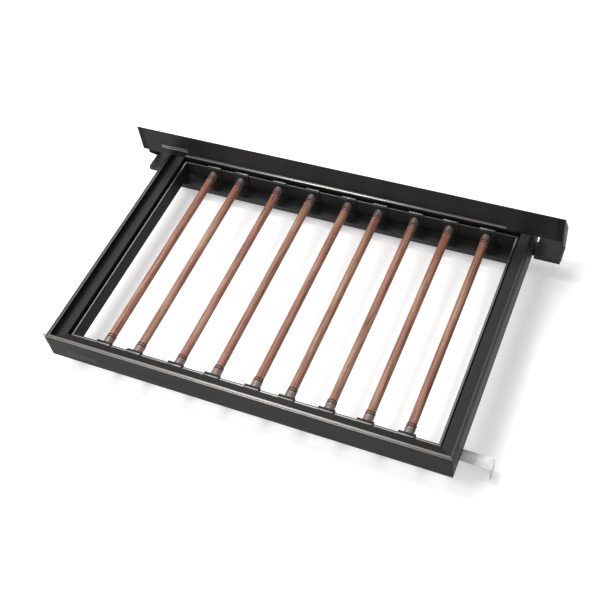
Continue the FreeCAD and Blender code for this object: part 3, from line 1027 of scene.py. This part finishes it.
@dataclass
class RodSet:
    """Nine rods with turned ferrules, double rubber rings and the clips that slide on the frame's lip."""

    sides: int = 40
    ferrule_radius: float = 9.0 * MM
    ferrule_length: float = 15.0 * MM
    ferrule_edge: float = 0.8 * MM
    ferrule_ease: float = 0.3
    ferrule_bevel: float = 0.12 * MM
    ferrule_crease: float = 40
    groove_place: float = 10.0 * MM
    groove_width: float = 1.2 * MM
    groove_depth: float = 0.6 * MM
    groove_floor: float = 0.4
    tube_radius: float = 8.0 * MM
    tube_bore: float = 6.45 * MM
    plug_length: float = 12.0 * MM
    plug_rib: float = 2.4 * MM
    plug_nose: float = 1.5 * MM
    plug_bevel: float = 0.4 * MM
    ring_place: float = 0.5 * MM
    ring_width: float = 1.8 * MM
    ring_pitch: float = 4.6 * MM
    ring_radius: float = 9.0 * MM
    ring_slack: float = 0.05 * MM
    ring_side_drop: float = 0.5 * MM
    ring_shoulder_drop: float = 0.12 * MM
    ring_crease: float = 50
    clip_width: float = 30.0 * MM
    clip_plate: float = 2.5 * MM
    clip_hook: float = 1.8 * MM
    clip_corner: float = 5.0 * MM
    clip_corner_faces: int = 5
    clip_barb: float = 1.5 * MM
    clip_mouth: float = 3.65 * MM
    clip_bevel: float = 0.3 * MM
    clip_black: Colour = (0.010, 0.010, 0.0103)
    lip_line: tuple[float, float] = (231.0 * MM, 233.5 * MM)
    sunk: float = 0.3 * MM
    small_bevel: float = 0.25 * MM
    stop_width: float = 2.2 * MM
    stop_proud: float = 0.6 * MM
    stop_front_proud: float = 0.2 * MM
    stop_back_proud: float = 0.4 * MM
    seat_slack: float = 0.15 * MM
    seat_wall: float = 1.5 * MM
    seat_height: float = 1.6 * MM
    seat_foot: float = 0.2 * MM
    seat_flare: float = 0.3 * MM
    seat_round: tuple[float, float] = (0.4 * MM, 0.5 * MM)
    seat_crease: float = 40
    rib_inset: float = 2.2 * MM
    rib_half: float = 0.7 * MM
    rib_proud: float = 0.8 * MM
    rib_gap: float = 0.6 * MM

    def build(self) -> list[str]:
        """Model one set of end fittings, copy it to the nine rods and dress the rods.

        Returns:
            Names of the pieces made.
        """
        wrap = GrainedWrap().build()
        metal = TurnedMetal().build()
        rubber = Rubber().build()
        hook_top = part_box("rod_clips_1")[1].z
        lined = LinedPlastic(
            "clip_plastic",
            self.clip_black,
            specular=0.15,
            top=hook_top,
            line=self.lip_line,
        )
        low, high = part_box("rod_tube_1")
        axle = (low + high) / 2
        patterns = {
            "ferrules": (self.both_ends(self.ferrule(axle, low.y)), metal, "ferrule_metal"),
            "rings": (self.both_ends(self.stop_rings(axle, low.y)), rubber, "black_plastic"),
            "clips": (self.both_ends(self.clip(axle)), lined.build(), "black_plastic"),
        }
        made = []
        for number in range(1, ROD_COUNT + 1):
            dress(f"rod_tube_{number}", wrap)
            low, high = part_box(f"rod_tube_{number}")
            shift = (low.x + high.x) / 2 - axle.x
            for kind, (pattern, finish, slot) in patterns.items():
                piece = Bench.copy(pattern, f"fine_{kind}_{number}", (shift, 0, 0))
                made.append(hang(piece, finish, f"rod_{number}"))
                if kind != "rings":
                    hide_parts(f"rod_{kind}_{number}")
        for pattern, _, _ in patterns.values():
            bpy.data.objects.remove(pattern)
        return made

    @staticmethod
    def both_ends(piece: Piece) -> Piece:
        """Join the fitting at the front end with its mirror image at the rear end."""
        rear = Bench.reflect(piece, "rear_end", (1, -1, 1))
        return Bench.join([piece, rear], piece.name)

    def ferrule(self, axle: Vector, tube_front: float) -> Piece:
        """Turn the front ferrule and its ribbed plug.

        Args:
            axle: A point on the rod's axis.
            tube_front: Y of the rod's front end.

        Returns:
            The ferrule.
        """
        edge = self.ferrule_edge
        ease = edge * self.ferrule_ease
        radius = self.ferrule_radius
        length = self.ferrule_length
        groove = self.groove_place
        half = self.groove_width / 2
        floor = half * self.groove_floor
        stations = [
            (0.0, radius - edge),
            (ease, radius - ease),
            (edge, radius),
            (groove - half, radius),
            (groove - floor, radius - self.groove_depth),
            (groove + floor, radius - self.groove_depth),
            (groove + half, radius),
            (length - edge, radius),
            (length - ease, radius - ease),
            (length, radius - edge),
        ]
        start = Vector((axle.x, tube_front - length, axle.z))
        collar = Bench.turn("pattern_ferrule", start, Axis.BACK, stations, self.sides)
        Bench.soften(collar, self.ferrule_bevel, segments=1, angle=self.ferrule_crease)
        return Bench.join([collar] + self.plug(axle, tube_front), "pattern_ferrule")

    def plug(self, axle: Vector, tube_front: float) -> list[Piece]:
        """Make the cross-ribbed plug that sits in the rod's end.

        Args:
            axle: A point on the rod's axis.
            tube_front: Y of the rod's front end.

        Returns:
            The upright and the level rib, with soft edges.
        """
        ribs = []
        thin = self.plug_rib / 2
        reach = self.tube_bore - self.plug_nose / 2
        for wide, tall in ((thin, reach), (reach, thin)):
            low = (axle.x - wide, tube_front - self.plug_nose, axle.z - tall)
            high = (axle.x + wide, tube_front + self.plug_length, axle.z + tall)
            rib = Bench.block("plug_rib", low, high)
            Bench.soften(rib, self.plug_bevel)
            ribs.append(rib)
        return ribs

    def stop_rings(self, axle: Vector, tube_front: float) -> Piece:
        """Turn the pair of thin rubber rings at the rod's front end.

        Args:
            axle: A point on the rod's axis.
            tube_front: Y of the rod's front end.

        Returns:
            Both rings.
        """
        bore = self.tube_radius + self.ring_slack
        crown = self.ring_radius
        side = crown - self.ring_side_drop
        shoulder = crown - self.ring_shoulder_drop
        shares = (
            (0.0, bore),
            (0.0, side),
            (0.2, shoulder),
            (0.5, crown),
            (0.8, shoulder),
            (1.0, side),
            (1.0, bore),
            (0.0, bore),
        )
        stations = [(self.ring_width * share, radius) for share, radius in shares]
        start = Vector((axle.x, tube_front + self.ring_place, axle.z))
        first = Bench.turn("pattern_stop_ring", start, Axis.BACK, stations, self.sides, bored=True)
        Bench.smooth(first, self.ring_crease)
        second = Bench.copy(first, "second_ring", (0, self.ring_pitch, 0))
        return Bench.join([first, second], "pattern_stop_ring")

    def clip(self, axle: Vector) -> Piece:
        """Mould the front clip: a plate on the inner wall with a hook over the frame's lip.

        Args:
            axle: A point on the rod's axis.

        Returns:
            The clip.
        """
        low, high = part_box("rod_clips_1")
        left = axle.x - self.clip_width / 2
        right = axle.x + self.clip_width / 2
        face = -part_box("rod_ferrules_1")[1].y
        plate_back = face - self.clip_plate
        under = high.z - self.clip_hook
        leg_inner = low.y + self.clip_hook
        barb_top = under - self.clip_mouth
        clip = Bench.block("pattern_clip", (left, plate_back, low.z), (right, face, high.z))
        with Bench.editing(clip):
            Bench.slice(Axis.UP, under)
            Bench.pick_faces(clip, Axis.FORWARD, lambda middle: middle.z > under)
            Bench.push(Axis.FORWARD, plate_back - leg_inner)
            Bench.push(Axis.FORWARD, leg_inner - low.y)
            Bench.pick_faces(clip, Axis.DOWN, lambda middle: middle.y < leg_inner)
            Bench.push(Axis.DOWN, under - barb_top)
            Bench.push(Axis.DOWN, self.clip_hook)
            Bench.pick_faces(clip, Axis.BACK, lambda middle: middle.z < barb_top and middle.y < plate_back)
            Bench.push(Axis.BACK, self.clip_barb)
        self.round_foot(clip, low.z)
        Bench.soften(clip, self.clip_bevel)
        stop_low = (right - self.stop_width, low.y - self.stop_front_proud, barb_top)
        stop_high = (right, face + self.stop_back_proud, high.z + self.stop_proud)
        stop = self.end_stop(stop_low, stop_high, under - self.sunk, leg_inner)
        ribs = self.ribs(axle, face, low.z, under)
        return Bench.join([clip, stop, self.seat(axle, face)] + ribs, "pattern_clip")

    def end_stop(self, low: Place, high: Place, floor: float, leg_back: float) -> Piece:
        """Make the raised end stop that wraps the hook's right end.

        Args:
            low: Lowest corner, at the foot of its front leg.
            high: Highest corner.
            floor: Height of its level part's underside.
            leg_back: Y of the back of its front leg.

        Returns:
            The end stop.
        """
        left, front, foot = low
        stop = Bench.block("clip_stop", (left, front, floor), high)
        with Bench.editing(stop):
            Bench.slice(Axis.BACK, leg_back)
            Bench.pick_faces(stop, Axis.DOWN, lambda middle: middle.y < leg_back)
            Bench.push(Axis.DOWN, floor - foot)
        Bench.soften(stop, self.small_bevel)
        return stop

    def round_foot(self, clip: Piece, foot: float) -> None:
        """Round the plate's two lower corners.

        Args:
            clip: The clip.
            foot: Height of the plate's lower edge.
        """

        def lower_corner(a: Vector, b: Vector) -> bool:
            """Whether an edge runs straight back at the plate's foot."""
            return max(abs(a.z - foot), abs(b.z - foot), abs(a.x - b.x)) < SLACK

        with Bench.editing(clip, Pick.EDGES):
            Bench.pick_edges(clip, lower_corner)
            bpy.ops.mesh.bevel(offset=self.clip_corner, segments=self.clip_corner_faces, affect="EDGES")

    def seat(self, axle: Vector, face: float) -> Piece:
        """Turn the low collar that the ferrule sits in.

        Args:
            axle: A point on the rod's axis.
            face: Y of the clip's face.

        Returns:
            The collar.
        """
        inner = self.ferrule_radius + self.seat_slack
        outer = inner + self.seat_wall
        tall = self.seat_height
        round_tall, round_wide = self.seat_round
        stations = [
            (-self.seat_foot, inner),
            (-self.seat_foot, outer + self.seat_flare),
            (tall - round_tall, outer),
            (tall, outer - round_wide),
            (tall, inner + self.seat_flare),
            (tall - self.seat_flare, inner),
            (-self.seat_foot, inner),
        ]
        start = Vector((axle.x, face, axle.z))
        seat = Bench.turn("clip_seat", start, Axis.BACK, stations, self.sides, bored=True)
        Bench.smooth(seat, self.seat_crease)
        return seat

    def ribs(self, axle: Vector, face: float, foot: float, under: float) -> list[Piece]:
        """Make the upright ribs near the plate's two ends.

        Args:
            axle: A point on the rod's axis.
            face: Y of the clip's face.
            foot: Height of the plate's lower edge.
            under: Height of the underside of the hook.

        Returns:
            The ribs.
        """
        made = []
        for side in (-1, 1):
            middle = axle.x + side * (self.clip_width / 2 - self.rib_inset)
            low = (middle - self.rib_half, face - self.sunk, foot + self.clip_corner)
            high = (middle + self.rib_half, face + self.rib_proud, under - self.rib_gap)
            rib = Bench.block("clip_rib", low, high)
            Bench.soften(rib, self.small_bevel)
            made.append(rib)
        return made


@dataclass
class Runners:
    """The telescopic runners with their roller cages and soft-close units."""

    outer_zinc: Colour = (0.60, 0.60, 0.61)
    inner_steel: Colour = (0.50, 0.50, 0.51)
    roller_white: Colour = (0.62, 0.62, 0.60)
    damper_grey: Colour = (0.16, 0.165, 0.17)

    def build(self) -> list[str]:
        """Dress the runners.

        Returns:
            Names of the nodes that were dressed.
        """
        outer = Steel("runner_zinc", self.outer_zinc, metallic=1.0, roughness=0.36).build()
        inner = Steel("rail_steel", self.inner_steel, metallic=1.0, roughness=0.30).build()
        rollers = Moulded("roller_white", self.roller_white, roughness=0.4).build()
        damper = Moulded("damper_grey", self.damper_grey, roughness=0.42).build()
        finishes = {
            "fixed_rail": outer,
            "carriage": outer,
            "middle_rail": inner,
            "lower_rollers": rollers,
            "upper_rollers": rollers,
        }
        dressed = [
            dress(f"{side}_{kind}", finish)
            for side in ("left", "right")
            for kind, finish in finishes.items()
        ]
        return dressed + [dress("soft_close_units", damper)]


@dataclass
class FixedRear:
    """What stays in the cabinet: the tall rear panel, its end caps, the cross bar and the brackets."""

    plate_low: Place = (-383 * MM, 0.0, 124.0 * MM)
    plate_high: Place = (-323 * MM, 0.0, 131.6 * MM)
    plate_proud: float = 1.2 * MM
    plate_bedded: float = 0.1 * MM
    plate_rim: float = 0.9 * MM
    plate_sunk: float = 0.5 * MM
    ledge_top: float = 117.8 * MM
    ledge_fall: float = 1.9 * MM
    ledge_thick: float = 1.2 * MM
    ledge_proud: float = 5.0 * MM
    ledge_bedded: float = 0.3 * MM
    ledge_half: float = 330.0 * MM
    ledge_reach: float = 0.65
    bevel: float = 0.2 * MM
    panel_black: Colour = (0.010, 0.0096, 0.0098)
    cap_black: Colour = (0.006, 0.006, 0.0062)
    bar_black: Colour = (0.016, 0.016, 0.0165)
    bracket_black: Colour = (0.010, 0.010, 0.0105)
    bracket_zinc: Colour = (0.58, 0.58, 0.59)
    plate_grey: Colour = (0.15, 0.157, 0.15)
    ledge_satin: Colour = (0.165, 0.159, 0.154)

    def build(self) -> list[str]:
        """Dress the fixed parts and make the bare plate and the ledge.

        Returns:
            Names of the pieces.
        """
        finishes = {
            "rear_panel": Anodised("anodised_panel", Run.ACROSS, colour=self.panel_black, specular=0.15),
            "panel_end_caps": Moulded("cap_plastic", self.cap_black, roughness=0.55, specular=0.12),
            "cross_bar": Steel("bar_black", self.bar_black, metallic=0.0, roughness=0.5, run=Run.ACROSS),
            "rear_brackets": Steel(
                "bracket_black",
                self.bracket_black,
                metallic=0.0,
                roughness=0.55,
                spangle=0.2,
            ),
            "front_brackets": Steel("bracket_zinc", self.bracket_zinc, metallic=0.85, roughness=0.45),
        }
        dressed = [dress(node, finish.build()) for node, finish in finishes.items()]
        return dressed + [self.bare_plate(), self.ledge()]

    def ledge(self) -> str:
        """Make the thin ledge with a bright sloping top that stands out from the panel's foot.

        Returns:
            The ledge's name.
        """
        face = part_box("rear_panel")[0].y
        front = face - self.ledge_proud
        top = self.ledge_top
        low = (-self.ledge_half, front, top - self.ledge_fall - self.ledge_thick)
        ledge = Bench.block("panel_ledge", low, (self.ledge_half, face + self.ledge_bedded, top))

        def upper_front(a: Vector, b: Vector) -> bool:
            """Whether an edge is the ledge's upper front one."""
            return all(abs(v.y - front) + abs(v.z - top) < SLACK for v in (a, b))

        with Bench.editing(ledge, Pick.EDGES):
            Bench.pick_edges(ledge, upper_front)
            bpy.ops.transform.translate(value=(0, 0, -self.ledge_fall))
        Bench.soften(ledge, self.bevel)
        middle = top - self.ledge_fall / 2
        slope = FlatTop(middle, self.ledge_satin, metal=1.0, reach=self.ledge_fall * self.ledge_reach)
        finish = Anodised("anodised_ledge", Run.ACROSS, (slope,), polish=0.24, grain=0.02, specular=0.06)
        return hang(ledge, finish.build(), "cabinet_side")

    def bare_plate(self) -> str:
        """Make the small bare plate low on the panel's left end.

        Returns:
            The plate's name.
        """
        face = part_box("rear_panel")[0].y
        low = (self.plate_low[0], face - self.plate_proud, self.plate_low[2])
        high = (self.plate_high[0], face + self.plate_bedded, self.plate_high[2])
        plate = Bench.block("bare_plate", low, high)
        with Bench.editing(plate):
            Bench.pick_faces(plate, Axis.FORWARD, lambda middle: True)
            bpy.ops.mesh.inset(thickness=self.plate_rim, depth=0)
            Bench.push(Axis.BACK, self.plate_sunk)
        Bench.soften(plate, self.bevel)
        finish = Steel("plate_metal", self.plate_grey, metallic=0.8, roughness=0.42, run=Run.ACROSS)
        return hang(plate, finish.build(), "cabinet_side")


@dataclass
class Screws:
    """Pan-head screws that hold the rails and the panel."""

    sides: int = 24
    head_radius: float = 3.6 * MM
    head_height: float = 2.2 * MM
    head_bedded: float = 0.2 * MM
    head_foot: float = 0.9
    head_profile: tuple[tuple[float, float], ...] = ((0.0, 1.0), (0.45, 1.0), (0.8, 0.82), (1.0, 0.55))
    head_crease: float = 35
    recess_width: float = 0.9 * MM
    recess_length: float = 3.8 * MM
    recess_depth: float = 1.2 * MM
    recess_clear: float = 1.0 * MM
    bracket_gauge: float = 2.0 * MM
    bar_edge: float = 6.0 * MM
    tab_insets: tuple[float, float] = (8.0 * MM, 18.0 * MM)
    zinc: Colour = (0.62, 0.62, 0.63)

    def build(self) -> list[str]:
        """Make one screw of each direction and copy it to its places.

        Returns:
            Names of the screws.
        """
        zinc = Steel("screw_zinc", self.zinc, metallic=1.0, roughness=0.30, run=Run.ROUND).build()
        made = []
        for name, axis, places in self.places():
            pattern = self.screw(axis)
            for number, place in enumerate(places, start=1):
                piece = Bench.copy(pattern, f"{name}_{number}", place)
                made.append(hang(piece, zinc, "cabinet_side"))
            bpy.data.objects.remove(pattern)
        return made

    def places(self) -> list[tuple[str, Axis, list[Place]]]:
        """Where the screws go.

        Returns:
            Name, direction of the head and the seats of each group.
        """
        rail_low, rail_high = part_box("right_fixed_rail")
        bar_low, bar_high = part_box("cross_bar")
        bracket_low, bracket_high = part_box("front_brackets")
        panel_low, panel_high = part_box("rear_panel")
        rail_x = (rail_low.x + rail_high.x) / 2
        tab_back = panel_high.y + self.bracket_gauge
        middle = (panel_low.z + panel_high.z) / 2
        front_seat = ((bracket_low.y + bracket_high.y) / 2, rail_low.z - self.bracket_gauge)
        rear_seat = (bar_high.y - self.bar_edge, bar_low.z)
        rail_screws = [(side * rail_x, y, z) for side in (-1, 1) for y, z in (front_seat, rear_seat)]
        panel_screws = [
            (side * (panel_high.x - inset), tab_back, middle)
            for side in (-1, 1)
            for inset in self.tab_insets
        ]
        return [("rail_screw", Axis.DOWN, rail_screws), ("panel_screw", Axis.BACK, panel_screws)]

    def screw(self, axis: Axis) -> Piece:
        """Turn a pan head and cut its cross recess.

        Args:
            axis: Direction that the head looks in.

        Returns:
            The screw's head, seated at the origin.
        """
        radius = self.head_radius
        tall = self.head_height
        rise = [(tall * height, radius * width) for height, width in self.head_profile]
        stations = [(-self.head_bedded, radius * self.head_foot)] + rise
        head = Bench.turn("pattern_screw", Vector((0, 0, 0)), axis, stations, self.sides)
        direction = axis.vector
        level = Vector((1, 0, 0))
        for along in (level, direction.cross(level)):
            reach = along * self.recess_length / 2
            thick = direction.cross(along) * self.recess_width / 2
            mouth = reach + thick + direction * (tall + self.recess_clear)
            floor = -reach - thick + direction * (tall - self.recess_depth)
            low = tuple(map(min, mouth, floor))
            high = tuple(map(max, mouth, floor))
            Bench.carve(head, Bench.block("recess", low, high))
        Bench.smooth(head, self.head_crease)
        return head


# ---- studio ---------------------------------------------------------------------------------------
@dataclass(frozen=True)
class Softbox:
    """A rectangular lamp that looks straight down, or at the rack."""

    name: str
    place: Place
    width: float
    depth: float
    power: float
    level: bool = True
    target: Place = (0.0, 0.0, 0.1)

    def build(self) -> None:
        """Hang the lamp."""
        Bench.clear()
        aim = Vector(self.target) - Vector(self.place)
        turn = (0, 0, 0) if self.level else aim.to_track_quat("-Z", "Y").to_euler()
        bpy.ops.object.light_add(type="AREA", location=self.place, rotation=turn)
        lamp = bpy.context.active_object
        lamp.name = self.name
        lamp.data.shape = "RECTANGLE"
        lamp.data.size = self.width
        lamp.data.size_y = self.depth
        lamp.data.energy = self.power


@dataclass
class Studio:
    """Pale floor, soft lamps and the camera."""

    eye: Place = (0.5865, -0.9860, 1.4739)
    right: Place = (0.9163, 0.3857, -0.1079)
    up: Place = (-0.2442, 0.7515, 0.6129)
    back: Place = (0.3175, -0.5353, 0.7827)
    lens: float = 59.2
    sensor: float = 36.0
    sight: tuple[float, float] = (0.05, 100.0)
    sky: float = 0.30
    floor_size: float = 30.0
    floor_drop: float = 0.5 * MM
    floor_paint: tuple[float, float, float, float] = (0.86, 0.86, 0.86, 1.0)
    near_floor: float = 1.0
    far_floor: float = 3.2
    near_glow: float = 0.36
    far_glow: float = 0.76
    lamps: tuple[Softbox, ...] = (
        Softbox("key_lamp", (-1.6, -1.3, 2.4), width=1.6, depth=1.2, power=46.0, level=False),
        Softbox("rear_strip", (-0.92, 1.6, 2.5), width=0.7, depth=1.6, power=42.0),
        Softbox("middle_strip", (-0.8, 0.0, 2.5), width=1.1, depth=0.5, power=22.0),
        Softbox("fill_lamp", (0.7, -1.0, 2.2), width=0.8, depth=0.8, power=6.0),
    )

    def build(self) -> None:
        """Set up the stage."""
        self.floor()
        self.world()
        for lamp in self.lamps:
            lamp.build()
        self.camera()
        bpy.context.scene.view_settings.view_transform = "Standard"

    def floor(self) -> None:
        """Lay the pale floor, which glows more in the distance, where the lamps don't reach it."""
        Bench.clear()
        bpy.ops.mesh.primitive_plane_add(size=self.floor_size, location=(0, 0, -self.floor_drop))
        floor = bpy.context.active_object
        floor.name = "studio_floor"
        Bench.settle(floor)
        mix = Recipe("floor_paint")
        mix.set(Base_Color=self.floor_paint, Roughness=0.9, Specular_IOR_Level=0.1)
        seen = self.looked_at(mix.material.node_tree)
        away = mix.vector_math("LENGTH", mix.place)
        glow = mix.spread(away, self.near_floor, self.far_floor, self.near_glow, self.far_glow)
        mix.set(Emission_Color=(1, 1, 1, 1), Emission_Strength=mix.both(seen, glow))
        floor.data.materials.append(mix.material)

    @staticmethod
    def looked_at(tree: bpy.types.NodeTree) -> Socket:
        """Mask of the rays that show the background, straight, mirrored or through something.

        Args:
            tree: The node tree to add it to.

        Returns:
            The mask's socket.
        """
        path = tree.nodes.new("ShaderNodeLightPath")
        total = path.outputs["Is Camera Ray"]
        for kind in ("Is Glossy Ray", "Is Transmission Ray"):
            either = tree.nodes.new("ShaderNodeMath")
            either.operation = "MAXIMUM"
            tree.links.new(total, either.inputs[0])
            tree.links.new(path.outputs[kind], either.inputs[1])
            total = either.outputs["Value"]
        return total

    def world(self) -> None:
        """Fill the room with even light."""
        world = bpy.data.worlds.new("room")
        bpy.context.scene.world = world
        world.use_nodes = True
        back = world.node_tree.nodes["Background"]
        back.inputs["Color"].default_value = (1, 1, 1, 1)
        seen = self.looked_at(world.node_tree)
        level = world.node_tree.nodes.new("ShaderNodeMapRange")
        level.inputs["To Min"].default_value = self.sky
        level.inputs["To Max"].default_value = 1.0
        world.node_tree.links.new(seen, level.inputs["Value"])
        world.node_tree.links.new(level.outputs["Result"], back.inputs["Strength"])

    def camera(self) -> None:
        """Stand the camera in front of the rack, up and to the right."""
        Bench.clear()
        bpy.ops.object.camera_add()
        camera = bpy.context.active_object
        camera.name = "photo_camera"
        turn = Matrix((self.right, self.up, self.back)).transposed()
        camera.matrix_world = Matrix.LocRotScale(Vector(self.eye), turn.to_quaternion(), None)
        camera.data.sensor_width = self.sensor
        camera.data.lens = self.lens
        camera.data.clip_start, camera.data.clip_end = self.sight
        bpy.context.scene.camera = camera


def main() -> None:
    """Build every sub-assembly in order and report its pieces."""
    logging.basicConfig(level=logging.INFO, format="%(name)s: %(message)s")
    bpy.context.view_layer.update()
    for assembly in (SlidingFrame(), RodSet(), Runners(), FixedRear(), Screws()):
        for piece in assembly.build():
            LOG.info("%s: %s", type(assembly).__name__, piece)
    Studio().build()


if __name__ == "__main__":
    main()
